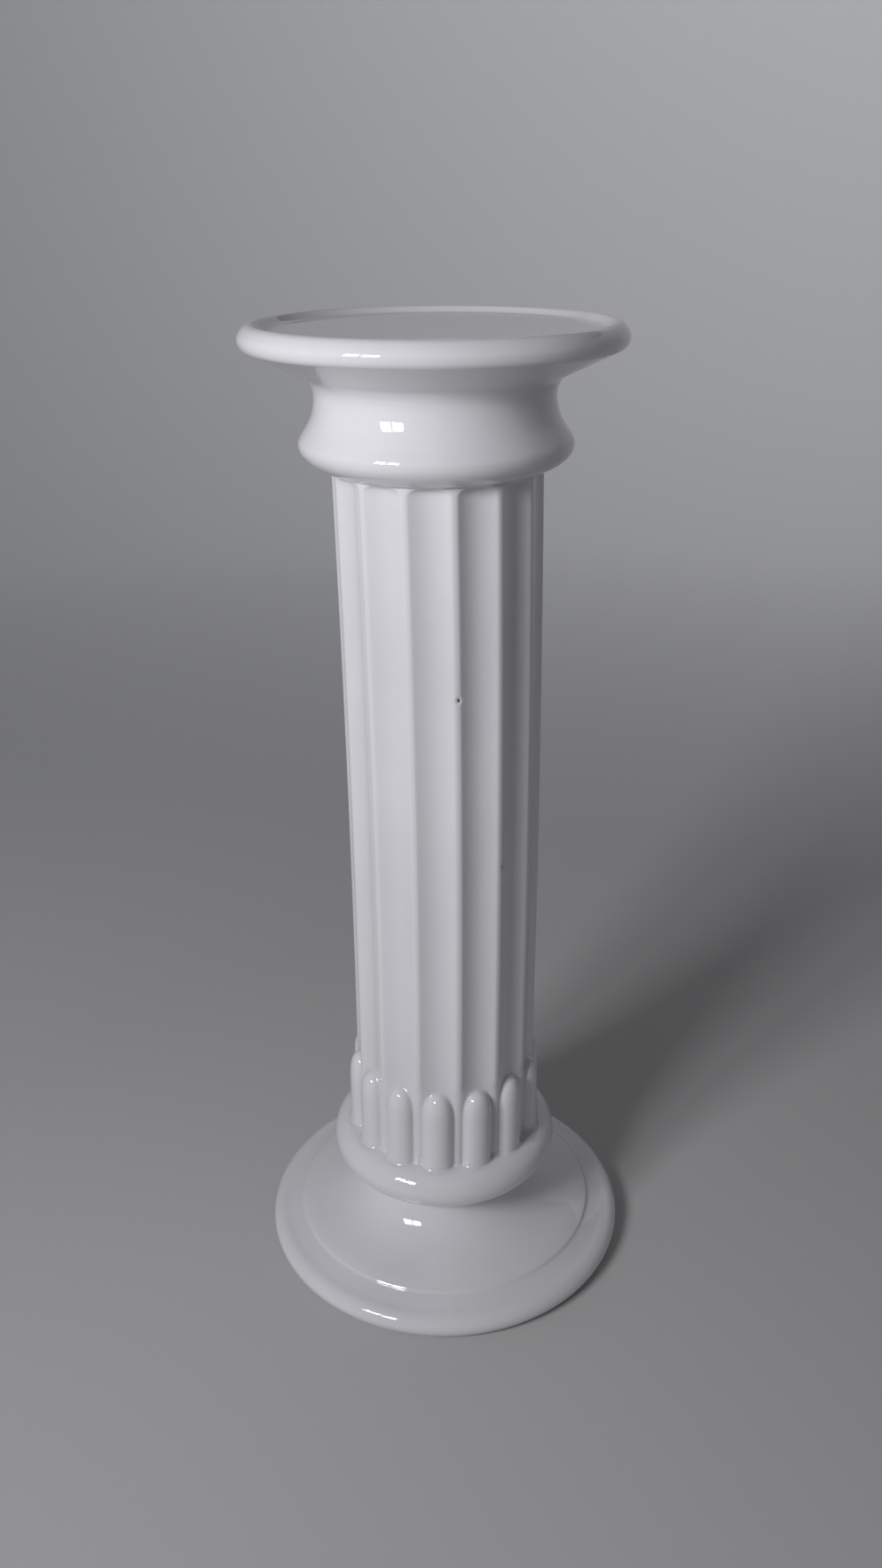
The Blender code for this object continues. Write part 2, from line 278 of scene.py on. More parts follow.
# Camera, as fitted to the column's outline in the photograph
IMAGE_HEIGHT = 1767
FOCAL_PIXELS = 1475.24
SENSOR_HEIGHT = 36.0
CAMERA_DISTANCE = 0.7856
CAMERA_HEIGHT = 0.7186
CAMERA_PITCH = math.radians(24.516)
CAMERA_ROLL = math.radians(-0.489)
CAMERA_YAW = math.radians(-0.024)
CAMERA_CLIP_START = 0.01

# Lights. In their places and directions x is to the camera's right, y away from it and z up
WINDOW_PLACE = Vector((-0.865, -1.030, 1.000))
PANE_WIDTH = 0.222
PANE_HEIGHT = 0.385
PANE_PITCH = 0.270
PANE_POWER = 7.1
PANE_COLOUR = (0.97, 0.99, 1.03)
PANE_SPREAD = math.radians(165.0)
ROOM_GLOW = (0.094, 0.097, 0.104, 1.0)
WASH_PLACE = Vector((0.70, 1.30, 2.55))
WASH_TOWARDS = Vector((0.28, 0.92, -0.30))
WASH_SIZE = (1.80, 0.60)
WASH_POWER = 17.0
WASH_SPREAD = math.pi


def arc(centre, across, up, start, end, steps=48):
    """Points (radius, height) along part of an ellipse, from one angle to another."""
    angles = np.linspace(start, end, steps + 1)
    return [(centre[0] + across * math.cos(a), centre[1] + up * math.sin(a)) for a in angles]


def bezier(a, b, c, d, steps=48):
    """Points along a cubic curve from a to d, pulled towards b and c."""
    points = []
    for t in np.linspace(0.0, 1.0, steps + 1):
        s = 1.0 - t
        weights = (s ** 3, 3.0 * s * s * t, 3.0 * s * t * t, t ** 3)
        points.append(tuple(sum(w * p[k] for w, p in zip(weights, (a, b, c, d))) for k in (0, 1)))
    return points


def resampled(points, spacing):
    """The line with a point at every spacing along it."""
    line = np.array(points)
    steps = np.hypot(*np.diff(line, axis=0).T)
    line = line[np.concatenate(([True], steps > 1e-9))]
    along = np.concatenate(([0.0], np.cumsum(np.hypot(*np.diff(line, axis=0).T))))
    at = np.linspace(0.0, along[-1], max(2, int(along[-1] / spacing)))
    return np.column_stack([np.interp(at, along, line[:, k]) for k in (0, 1)])


def kernel(sigma, spacing):
    """A bell-shaped set of weights that adds up to one."""
    reach = int(math.ceil(3.0 * sigma / spacing))
    weights = np.exp(-0.5 * (np.arange(-reach, reach + 1) * spacing / sigma) ** 2)
    return weights / weights.sum()


def softened(points, sigma):
    """A line whose corners are rounded. Its ends stay where they are."""
    line = resampled(points, PROFILE_SAMPLE)
    weights = kernel(sigma, PROFILE_SAMPLE)
    reach = len(weights) // 2
    before = 2.0 * line[0] - line[reach:0:-1]
    after = 2.0 * line[-1] - line[-2:-reach - 2:-1]
    padded = np.vstack((before, line, after))
    return np.column_stack([np.convolve(padded[:, k], weights, mode="valid") for k in (0, 1)])


def thinned(line, tolerance):
    """Which points to keep, as few as hold the line within the tolerance."""
    keep = np.zeros(len(line), bool)
    keep[[0, -1]] = True
    stretches = [(0, len(line) - 1)]
    while stretches:
        first, last = stretches.pop()
        chord = line[last] - line[first]
        away = line[first:last + 1] - line[first]
        distance = np.abs(away[:, 0] * chord[1] - away[:, 1] * chord[0]) / np.hypot(*chord)
        worst = int(np.argmax(distance))
        if distance[worst] > tolerance:
            keep[first + worst] = True
            stretches += [(first, first + worst), (first + worst, last)]
    return keep


def foot_profile():
    """From the mouth, round the foot, up the dome and over the ring to its crest."""
    half = FOOT_EDGE_THICKNESS / 2.0
    edge_centre = (FOOT_RADIUS - FOOT_EDGE_ROUNDING, half)
    edge = arc(edge_centre, FOOT_EDGE_ROUNDING, half, -QUARTER, QUARTER)
    ring = arc((RING_CENTRE, RING_LEVEL), RING_ROUNDING, RING_ROUNDING, RING_NECK_ANGLE, QUARTER)
    step_foot = (STEP_RADIUS + STEP_WIDTH / 2.0, STEP_LEVEL)
    step_head = (STEP_RADIUS - STEP_WIDTH / 2.0, STEP_LEVEL + STEP_RISE)
    neck = ring[0]
    inward = (step_head[0] - neck[0]) * DOME_LOWER_PULL
    lower_pull = (step_head[0] - inward, step_head[1] + inward * math.tan(DOME_START_SLOPE))
    upper_pull = (neck[0], neck[1] - (neck[1] - step_head[1]) * DOME_UPPER_PULL)
    dome = bezier(step_head, lower_pull, upper_pull, neck)
    return [(MOUTH_RADIUS, 0.0)] + edge + [step_foot] + dome + ring[1:]


def capital_profile():
    """From the top of the shaft, over the swell, the waist, the flare and the rim to the recess."""
    start = -math.acos(1.0 - SWELL_OVERHANG / SWELL_ROUNDING)
    swell_radius = SHAFT_RADIUS + SWELL_OVERHANG
    swell_centre = (swell_radius - SWELL_ROUNDING, SWELL_LEVEL)
    swell = arc(swell_centre, SWELL_ROUNDING, SWELL_HEIGHT / math.sin(-start), start, 0.0)
    waist = (WAIST_RADIUS, WAIST_LEVEL)
    lower_pull = (swell_radius, SWELL_LEVEL + WAIST_RISE * OGEE_LOWER_PULL)
    upper_pull = (waist[0], WAIST_LEVEL - WAIST_RISE * OGEE_UPPER_PULL)
    ogee = bezier(swell[-1], lower_pull, upper_pull, waist)
    flare_centre = (WAIST_RADIUS + FLARE_ROUNDING, WAIST_LEVEL)
    flare = arc(flare_centre, FLARE_ROUNDING, FLARE_ROUNDING, math.pi, QUARTER + UNDERSIDE_SLOPE)
    nose = arc((NOSE_CENTRE_RADIUS, NOSE_LEVEL), RIM_NOSE_WIDTH, RIM_NOSE_HEIGHT, NOSE_START, 0.0)
    face_pull = (RIM_RADIUS, NOSE_LEVEL + RIM_FACE_HEIGHT * RIM_FACE_PULL)
    crest_pull = (CREST_RADIUS + RIM_CREST_WIDTH * RIM_CREST_PULL, TOP)
    face = bezier(nose[-1], face_pull, crest_pull, (CREST_RADIUS, TOP))
    slope = []
    for share in np.linspace(0.0, 1.0, SLOPE_STEPS + 1)[1:]:
        height = RECESS_DEPTH * (1.0 + math.cos(math.pi * share)) / 2.0
        slope.append((CREST_RADIUS - RECESS_SLOPE_WIDTH * share, RECESS_FLOOR + height))
    rim = nose + face[1:] + slope
    plate = [(PLATE_CENTRE_RADIUS, RECESS_FLOOR)]
    return [(SHAFT_RADIUS, FLUTE_END)] + swell + ogee[1:] + flare[1:] + rim + plate


def flute_closing(z):
    """How much of the flute is left at a height: one along the shaft, none at its top."""
    rise = np.clip((z - FLUTE_END + FLUTE_END_HEIGHT) / FLUTE_END_HEIGHT, 0.0, 1.0)
    return (1.0 - rise ** FLUTE_END_SQUARENESS) ** (1.0 / FLUTE_END_SQUARENESS)


def flute_surface(x, z):
    """Radius of the shaft at places across one flute and heights, before the glaze softens it."""
    closing = flute_closing(z)
    reach = np.maximum(FLUTE_WIDTH / 2.0 * closing, 1e-6)
    radius = SHAFT_RADIUS - FLUTE_DEPTH * closing * np.clip(1.0 - (x / reach) ** 2, 0.0, None)
    up = np.clip((z - TONGUE_SHOULDER) / TONGUE_DOME_HEIGHT, 0.0, None)
    inside = np.clip(1.0 - (2.0 * x / TONGUE_WIDTH) ** 2 - up ** TONGUE_DOME_SQUARENESS, 0.0, None)
    tongue = TONGUE_EDGE_RADIUS + (TONGUE_RADIUS - TONGUE_EDGE_RADIUS) * np.sqrt(inside)
    return np.where(inside > 0.0, np.maximum(radius, tongue), radius)


def blurred(field, sigma):
    """The height field with its edges rounded. It goes on around the shaft and ends above and below."""
    weights = kernel(sigma, FIELD_SAMPLE)
    reach = len(weights) // 2
    wide = np.hstack((field[:, -reach:], field, field[:, :reach]))
    across = np.apply_along_axis(np.convolve, 1, wide, weights, mode="valid")
    tall = np.vstack((across[:1].repeat(reach, 0), across, across[-1:].repeat(reach, 0)))
    return np.apply_along_axis(np.convolve, 0, tall, weights, mode="valid")


def tongue_crease():
    """How far from its middle a tongue meets the flute, on its straight part."""
    x = np.linspace(0.0, TONGUE_WIDTH / 2.0, CREASE_SAMPLES)
    flute = SHAFT_RADIUS - FLUTE_DEPTH * (1.0 - (2.0 * x / FLUTE_WIDTH) ** 2)
    return float(x[flute_surface(x, TONGUE_SHOULDER) > flute].max())


def column_places():
    """Places of the mesh's columns across a flute, from a ridge's middle, with one on each edge."""
    ridge = FLUTE_WIDTH / 2.0
    side = [CREASE * math.sin(QUARTER * k / TONGUE_COLUMNS) for k in range(1, TONGUE_COLUMNS + 1)]
    outside = CREASE + FLUTE_SOFTENING
    side += [outside, (outside + ridge) / 2.0, ridge, (ridge + PITCH / 2.0) / 2.0]
    return np.array([-PITCH / 2.0] + [-x for x in reversed(side)] + [0.0] + side)


CREASE = tongue_crease()
PLACES = column_places()
COLUMNS = FLUTES * len(PLACES)
FLUTE_ANGLES = np.repeat(2.0 * math.pi / FLUTES * np.arange(FLUTES), len(PLACES)) - QUARTER
FIELD_COUNT = int(round(PITCH / FIELD_SAMPLE))
ACROSS = PITCH * (np.arange(FIELD_COUNT) / FIELD_COUNT - 0.5)
LEVELS = np.arange(RING_CREST - FIELD_MARGIN, SHAFT_TOP + FIELD_MARGIN, FIELD_SAMPLE)
FIELD = blurred(flute_surface(ACROSS[None, :], LEVELS[:, None]), FLUTE_SOFTENING)
# How hollow the glaze is at each place: it sets the pooled glaze and the painted shade in hollows, and
# the thin glaze on ridges
POOL_AND_SHADE_FIELD = blurred(FIELD, POOL_AND_SHADE_REACH) - FIELD
RANDOM = np.random.default_rng(SEED)
TONGUE_LIFT = np.repeat(RANDOM.uniform(-TONGUE_TOP_WANDER, TONGUE_TOP_WANDER, FLUTES), len(PLACES))


def sampled(field, x, z):
    """Values of a field over one flute, at each of the mesh's columns.

    A height stays just below the field's last row, since the row above it is read too.
    """
    column = (x + PITCH / 2.0) / PITCH * FIELD_COUNT
    row = np.clip((z - LEVELS[0]) / FIELD_SAMPLE, 0.0, len(LEVELS) - 1.001)
    c0 = np.floor(column).astype(int)
    r0 = np.floor(row).astype(int)
    cf = column - c0
    rf = row - r0
    c1 = (c0 + 1) % FIELD_COUNT
    c0 = c0 % FIELD_COUNT
    low = field[r0, c0] * (1.0 - cf) + field[r0, c1] * cf
    high = field[r0 + 1, c0] * (1.0 - cf) + field[r0 + 1, c1] * cf
    return low * (1.0 - rf) + high * rf


def lifted(z):
    """The height at which a column's shape is read: tongues differ a little in height."""
    fade = np.clip((TONGUE_TOP + LIFT_FADE_HEIGHT - z) / LIFT_FADE_HEIGHT, 0.0, 1.0)
    return z - TONGUE_LIFT * fade


def shaft_row(z):
    """Radius, place across the flute, height and pooled glaze with painted shade along one row of the
    shaft.
    """
    read = lifted(np.full(COLUMNS, z))
    up = np.clip((read - TONGUE_SHOULDER) / TONGUE_DOME_HEIGHT, 0.0, 1.0)
    tip = np.maximum(TONGUE_TIP_SHARE, np.sqrt(1.0 - up ** TONGUE_DOME_SQUARENESS))
    spread = np.clip((read - TONGUE_TOP) / COLUMN_SPREAD_HEIGHT, 0.0, 1.0)
    tip = tip + (1.0 - tip) * spread
    end = np.maximum(FLUTE_TIP_SHARE, flute_closing(read))
    place = np.tile(PLACES, FLUTES)
    size = np.abs(place)
    half = PITCH / 2.0
    beside = (half - size) / (half - CREASE)
    drawn = np.where(size <= CREASE, size * tip, half - beside * (half - CREASE * tip))
    ridge = FLUTE_WIDTH / 2.0
    beyond = (half - drawn) / (half - ridge)
    closed = np.where(drawn <= ridge, drawn * end, half - beyond * (half - ridge * end))
    x = np.sign(place) * closed
    pool_and_shade = np.clip(sampled(POOL_AND_SHADE_FIELD, x, read) / POOL_AND_SHADE_DEPTH, -1.0, 1.0)
    return sampled(FIELD, x, read), x, np.full(COLUMNS, z), pool_and_shade


def ring_height(radius):
    """Height of the ring's upper side at a radius. Inside its crest it is level."""
    out = np.clip(radius - RING_CENTRE, 0.0, RING_ROUNDING)
    return RING_LEVEL + np.sqrt(RING_ROUNDING ** 2 - out ** 2)


def turned_rows(points, sigma, tolerance):
    """Rows of the mesh for a turned stretch, with its corners rounded."""
    line = softened(points, sigma)
    along = np.gradient(line, axis=0)
    outward = np.column_stack((along[:, 1], -along[:, 0])) / np.hypot(*along.T)[:, None]
    # Hollows get pooled glaze and painted shade, ridges thin glaze
    pool_and_shade = np.clip(((softened(points, POOL_AND_SHADE_REACH) - line) * outward).sum(axis=1) / POOL_AND_SHADE_DEPTH, -1.0, 1.0)
    chosen = thinned(line, tolerance)
    place = np.tile(PLACES, FLUTES)
    rows = []
    for (r, z), depth in zip(line[chosen], pool_and_shade[chosen]):
        rows.append((np.full(COLUMNS, r), place, np.full(COLUMNS, z), np.full(COLUMNS, depth)))
    return rows


def shaft_rows():
    """Rows of the mesh from the ring's upper side, through the fillet, to the shaft's top."""
    rows = []
    foot = shaft_row(RING_CREST + SHAFT_FILLET)[0]
    place = np.tile(PLACES, FLUTES)
    landing = foot + SHAFT_FILLET
    # The ledge and the fillet where the shaft meets the ring count as hollows: pooled glaze and painted
    # shade, full in the fillet
    for share in LEDGE_SHARES:
        radius = LEDGE_RADIUS + (landing - LEDGE_RADIUS) * share
        rows.append((radius, place, ring_height(radius), np.full(COLUMNS, share)))
    base = ring_height(landing)
    for angle in np.linspace(0.0, QUARTER, FILLET_ROWS):
        radius = foot + SHAFT_FILLET * (1.0 - math.sin(angle))
        rows.append((radius, place, base + SHAFT_FILLET * (1.0 - math.cos(angle)), np.ones(COLUMNS)))
    tongue_foot = RING_CREST + SHAFT_FILLET + TONGUE_START
    levels = list(np.linspace(tongue_foot, TONGUE_SHOULDER, TONGUE_ROWS, endpoint=False))
    crowded = np.linspace(1.0, 0.0, TONGUE_TOP_ROWS) ** TONGUE_TOP_CROWDING
    levels += list(TONGUE_TOP - TONGUE_DOME_HEIGHT * crowded)
    spread_end = TONGUE_TOP + COLUMN_SPREAD_HEIGHT
    levels += list(np.linspace(TONGUE_TOP + SPREAD_START, spread_end, SPREAD_ROWS))
    end_foot = FLUTE_END - FLUTE_END_HEIGHT
    shaft = np.linspace(TONGUE_TOP + SHAFT_START, end_foot - SHAFT_STOP, SHAFT_ROWS)
    for turn, level, across, up, depth in CHIPS:
        near = level + up * np.linspace(-CHIP_ROWS_REACH, CHIP_ROWS_REACH, CHIP_ROWS)
        shaft = np.concatenate((shaft[np.abs(shaft - level) > CHIP_ROWS_CLEAR * up], near))
    levels += sorted(shaft)
    levels += list(end_foot + FLUTE_END_HEIGHT * np.sin(np.linspace(0.0, QUARTER, FLUTE_END_ROWS)))
    levels[-1] = FLUTE_END - END_GAP
    return rows + [shaft_row(z) for z in levels]


def hollow_profile():
    """Radius of the hollow from its mouth to its ceiling, a wall inside every outer point."""
    flute_floor = SHAFT_RADIUS - FLUTE_DEPTH
    shaft = [(flute_floor, RING_CREST), (flute_floor, SHAFT_TOP)]
    outer = resampled(foot_profile() + shaft + capital_profile()[:-1], HOLLOW_SAMPLE)
    points = []
    for z in np.linspace(0.0, RECESS_FLOOR - WALL, HOLLOW_STEPS):
        near = outer[np.abs(outer[:, 1] - z) < WALL]
        radii = near[:, 0] - np.sqrt(WALL ** 2 - (z - near[:, 1]) ** 2)
        points.append((min(MOUTH_RADIUS, radii.min()), z))
    points.append((PLATE_CENTRE_RADIUS, RECESS_FLOOR - WALL))
    return points[::-1]


def smooth_noise(seed, angle, height):
    """A gentle random variation around and along the column, between about -1 and 1."""
    random = np.random.default_rng(seed)
    total = np.zeros_like(angle)
    for turns in range(1, NOISE_TURNS + 1):
        for rises in range(NOISE_RISES):
            phase, shift = random.uniform(0.0, 2.0 * math.pi, 2)
            size = random.normal() / (turns + rises)
            along = np.cos(rises * NOISE_RISE_STEP * height + shift)
            total += size * np.sin(turns * angle + phase) * along
    return total / 2.0


def bow(height):
    """Sideways shift of the casting at a height: it leans and bows a little, as kilns make them."""
    rise = np.maximum(0.0, height - RING_LEVEL)
    return BOW_LEAN * rise - BOW_CURVE * rise ** 2


def chipped(radius, angle, height):
    """The radius with the chips' dents taken out of it."""
    for turn, level, across, up, depth in CHIPS:
        aside = (angle + QUARTER - turn) * SHAFT_RADIUS / across
        reach = aside ** 2 + ((height - level) / up) ** 2
        radius = radius - depth * np.sqrt(np.clip(1.0 - reach / CHIP_SPREAD, 0.0, None))
    return radius


def placed(radius, angle, height):
    """Positions from radius, angle and height, with the unevenness of the casting."""
    outside = radius > SHAFT_RADIUS - (FLUTE_DEPTH + WALL) / 2.0
    radius = np.where(outside, chipped(radius, angle, height), radius)
    fade = np.clip((height - EVEN_FOOT_HEIGHT) / FOOT_FADE_HEIGHT, 0.0, 1.0)
    fade *= np.clip((TOP - height) / TOP_FADE_HEIGHT, 0.0, 1.0)
    radius = radius + WALL_WAVE * fade * smooth_noise(SEED, angle, height)
    angle = angle + RIDGE_WANDER * fade * smooth_noise(SEED + 1, angle, height)
    x = radius * np.cos(angle) + bow(height) * math.cos(VIEW_AZIMUTH)
    y = radius * np.sin(angle) + bow(height) * math.sin(VIEW_AZIMUTH)
    return np.stack((x, y, height), axis=-1)


def column_mesh():
    """The whole casting as one closed mesh."""
    low = turned_rows(foot_profile(), PROFILE_SOFTENING, PROFILE_TOLERANCE)
    low = [row for row in low if row[2][0] < RING_LEVEL or row[0][0] > LEDGE_RADIUS]
    high = turned_rows(capital_profile(), PROFILE_SOFTENING, PROFILE_TOLERANCE)
    outside = low + shaft_rows() + high
    inside = turned_rows(hollow_profile(), 2.0 * PROFILE_SOFTENING, HOLLOW_TOLERANCE)
    rows = outside + inside
    radius, place, height, pool_and_shade = (np.array([row[k] for row in rows]) for k in range(4))
    verts = placed(radius, FLUTE_ANGLES + place / SHAFT_RADIUS, height).reshape(-1, 3)
    count = len(rows)
    i, j = np.meshgrid(np.arange(count), np.arange(COLUMNS), indexing="ij")
    k = (j + 1) % COLUMNS
    n = (i + 1) % count
    faces = np.stack((i * COLUMNS + j, i * COLUMNS + k, n * COLUMNS + k, n * COLUMNS + j), axis=-1)
    skip = len(outside) - 1
    faces = np.concatenate((faces[:skip], faces[skip + 1:])).reshape(-1, 4).tolist()
    plate = [skip * COLUMNS + c for c in range(COLUMNS)]
    ceiling = [(skip + 1) * COLUMNS + c for c in reversed(range(COLUMNS))]
    mesh = bpy.data.meshes.new("glazed_column")
    mesh.from_pydata(verts.tolist(), [], faces + [plate, ceiling])
    # Pooled glaze and painted shade in the hollows, thin glaze on the ridges
    pooled_and_shaded = mesh.attributes.new("pooled_glaze_and_shade", "FLOAT", "POINT")
    pooled_and_shaded.data.foreach_set("value", pool_and_shade.reshape(-1).astype(np.float32))
    bare = mesh.attributes.new("bare_clay", "FLOAT", "POINT")
    unglazed = np.clip((GLAZE_LINE - height) / GLAZE_LINE_WIDTH, 0.0, 1.0)
    unglazed[len(outside):] = 1.0
    bare.data.foreach_set("value", unglazed.reshape(-1).astype(np.float32))
    mesh.validate()
    mesh.shade_smooth()
    return mesh


def add_node(material, kind, **values):
    """A shader node with values on its sockets, which are named with low lines for spaces."""
    node = material.node_tree.nodes.new(kind)
    for name, value in values.items():
        node.inputs[name.replace("_", " ")].default_value = value
    return node


def join(material, output, socket):
    """Link one node to the next."""
    material.node_tree.links.new(output, socket)


def noise(material, place, scale, detail, roughness=0.5):
    """Noise at a scale, in the column's own coordinates. Gives its value, about a half on average."""
    node = add_node(material, "ShaderNodeTexNoise", Scale=scale, Detail=detail, Roughness=roughness)
    join(material, place.outputs["Object"], node.inputs["Vector"])
    return node.outputs["Fac"]


def spread(material, value, low, high, low_to, high_to):
    """A value brought from one range to another, and held inside it."""
    node = material.node_tree.nodes.new("ShaderNodeMapRange")
    for name, number in zip(("From Min", "From Max", "To Min", "To Max"), (low, high, low_to, high_to)):
        node.inputs[name].default_value = number
    join(material, value, node.inputs["Value"])
    return node.outputs["Result"]


def combined(material, operation, a, b):
    """Two values joined by an operation. The second may be a plain number."""
    node = material.node_tree.nodes.new("ShaderNodeMath")
    node.operation = operation
    join(material, a, node.inputs[0])
    if isinstance(b, float):
        node.inputs[1].default_value = b
    else:
        join(material, b, node.inputs[1])
    return node.outputs["Value"]


# A mix node keeps its two colours and their result in these sockets
MIX_COLOURS = (6, 7)
MIX_COLOUR_RESULT = 2


def blended(material, share, a, b):
    """Colour a, or colour b where the share is one. Each is a socket or a plain colour."""
    node = material.node_tree.nodes.new("ShaderNodeMix")
    node.data_type = "RGBA"
    join(material, share, node.inputs["Factor"])
    for slot, colour in zip(MIX_COLOURS, (a, b)):
        if isinstance(colour, tuple):
            node.inputs[slot].default_value = colour
        else:
            join(material, colour, node.inputs[slot])
    return node.outputs[MIX_COLOUR_RESULT]


def blended_value(material, share, a, b):
    """Value a, or the number b where the share is one."""
    node = material.node_tree.nodes.new("ShaderNodeMix")
    join(material, share, node.inputs["Factor"])
    join(material, a, node.inputs["A"])
    node.inputs["B"].default_value = b
    return node.outputs["Result"]


def attribute(material, name):
    """A value stored on the mesh's vertices."""
    node = material.node_tree.nodes.new("ShaderNodeAttribute")
    node.attribute_name = name
    return node.outputs["Fac"]


def bumped(material, height, strength, distance, below=None):
    """A bump, on top of another one if there is one below."""
    node = add_node(material, "ShaderNodeBump", Strength=strength, Distance=distance)
    join(material, height, node.inputs["Height"])
    if below:
        join(material, below, node.inputs["Normal"])
    return node.outputs["Normal"]


def chip_reach(material, place):
    """Distance from the nearer chip's middle in half widths of the chip, made ragged."""
    ragged = noise(material, place, RAGGED_SCALE, 2.0)
    nearest = None
    for turn, level, across, up, depth in CHIPS:
        offset = (turn * SHAFT_RADIUS + PITCH / 2.0) % PITCH - PITCH / 2.0
        radius = sampled(FIELD, np.array([offset]), np.array([level]))
        centre = placed(radius, np.array([turn - QUARTER]), np.array([level]))[0]
        scale = (1.0 / across, 1.0 / across, 1.0 / up)
        shift = tuple(-c * k for c, k in zip(centre, scale))
        away = add_node(material, "ShaderNodeMapping", Scale=scale, Location=shift)
        join(material, place.outputs["Object"], away.inputs["Vector"])
        length = material.node_tree.nodes.new("ShaderNodeVectorMath")
        length.operation = "LENGTH"
        join(material, away.outputs["Vector"], length.inputs[0])
        reach = combined(material, "ADD", length.outputs["Value"], ragged)
        nearest = combined(material, "MINIMUM", nearest, reach) if nearest else reach
    return nearest


def speck_mask(material, place):
    """One inside rare pinholes in the glaze, none outside."""
    cells = add_node(material, "ShaderNodeTexVoronoi", Scale=PINHOLE_SCALE, Randomness=1.0)
    join(material, place.outputs["Object"], cells.inputs["Vector"])
    near = spread(material, cells.outputs["Distance"], *PINHOLE_EDGE, 1.0, 0.0)
    parts = material.node_tree.nodes.new("ShaderNodeSeparateColor")
    join(material, cells.outputs["Color"], parts.inputs["Color"])
    rare = spread(material, parts.outputs["Red"], *PINHOLE_RARITY, 0.0, 1.0)
    return combined(material, "MULTIPLY", near, rare)


def glaze_material():
    """Glossy white glaze over a ceramic body: cloudy, a little pooled and painted darker as shade in its
    hollows, with pinholes and two chips.
    """
    material = bpy.data.materials.new("white_glaze_fine")
    material.use_nodes = True
    shader = material.node_tree.nodes["Principled BSDF"]
    place = material.node_tree.nodes.new("ShaderNodeTexCoord")
    cloud = spread(material, noise(material, place, CLOUD_SCALE, 3.0), *CLOUD_RANGE, 0.0, 1.0)
    colour = blended(material, cloud, GLAZE_COOL, GLAZE_WARM)
    mottle = noise(material, place, MOTTLE_SCALE, 4.0, 0.6)
    mottle = spread(material, mottle, *MOTTLE_RANGE, 0.0, MOTTLE_SHARE)
    colour = blended(material, mottle, colour, GLAZE_MOTTLE)
    # Pooled glaze with painted shade darkens the hollows; thin glaze lightens the ridges
    pool_and_shade = attribute(material, "pooled_glaze_and_shade")
    pooled_and_shaded = spread(material, pool_and_shade, *POOLED_AND_SHADED_RANGE, 0.0, POOLED_AND_SHADED_SHARE)
    colour = blended(material, pooled_and_shaded, colour, GLAZE_POOLED_AND_SHADED)
    thin = spread(material, pool_and_shade, *THIN_RANGE, 0.0, THIN_SHARE)
    colour = blended(material, thin, colour, GLAZE_THIN)
    specks = speck_mask(material, place)
    colour = blended(material, combined(material, "MULTIPLY", specks, PINHOLE_SHARE), colour, PINHOLE)
    reach = chip_reach(material, place)
    chips = spread(material, reach, *CHIP_EDGE, 1.0, 0.0)
    colour = blended(material, chips, colour, CHIP_RIM)
    colour = blended(material, spread(material, reach, *CHIP_CORE, 1.0, 0.0), colour, CHIP)
    bare = attribute(material, "bare_clay")
    grain = noise(material, place, CLAY_SCALE, 3.0)
    colour = blended(material, bare, colour, blended(material, grain, CLAY_DARK, CLAY_LIGHT))
    join(material, colour, shader.inputs["Base Color"])
    gloss = noise(material, place, GLOSS_SCALE, 3.0)
    gloss = spread(material, gloss, *GLOSS_RANGE, *GLOSS_ROUGHNESS)
    rough = blended_value(material, combined(material, "MAXIMUM", bare, chips), gloss, BARE_ROUGHNESS)
    join(material, rough, shader.inputs["Roughness"])
    waves = bumped(material, noise(material, place, WAVE_SCALE, 1.0), WAVE_STRENGTH, WAVE_HEIGHT)
    peel = bumped(material, noise(material, place, PEEL_SCALE, 1.0), PEEL_STRENGTH, PEEL_HEIGHT, waves)
    pits = bumped(material, combined(material, "ADD", specks, chips), PIT_STRENGTH, PIT_HEIGHT, peel)
    clay = combined(material, "MULTIPLY", grain, bare)
    rough_clay = bumped(material, clay, CLAY_STRENGTH, CLAY_HEIGHT, pits)
    join(material, rough_clay, shader.inputs["Normal"])
    shader.inputs["IOR"].default_value = GLAZE_IOR
    return material


def glazed_column():
    """The fine column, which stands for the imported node."""
    column = bpy.data.objects.new("glazed_column", column_mesh())
    bpy.context.collection.objects.link(column)
    column.data.materials.append(glaze_material())
    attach(column, "root")
    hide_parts("pedestal_column")
    return column


def plain_material(name, colour, roughness):
    """A plain stage material."""
    material = bpy.data.materials.new(name)
    material.use_nodes = True
    shader = material.node_tree.nodes["Principled BSDF"]
    shader.inputs["Base Color"].default_value = colour
    shader.inputs["Roughness"].default_value = roughness
    return material


def stage_material():
    """Plain pale paper, darker near the column and painted paler far off, where less light reaches it.
    """
    material = plain_material("pale_paper", FLOOR_NEAR, FLOOR_ROUGHNESS)
    place = material.node_tree.nodes.new("ShaderNodeTexCoord")
    away = material.node_tree.nodes.new("ShaderNodeVectorMath")
    away.operation = "LENGTH"
    join(material, place.outputs["Object"], away.inputs[0])
    # Painted paler with the distance from the column, where the floor and wall get less light
    share = spread(material, away.outputs["Value"], FLOOR_NEAR_END, FLOOR_FAR_START, 0.0, 1.0)
    colour = blended(material, share, FLOOR_NEAR, FLOOR_FAR_PAINTED_LIGHTER)
    join(material, colour, material.node_tree.nodes["Principled BSDF"].inputs["Base Color"])
    return material


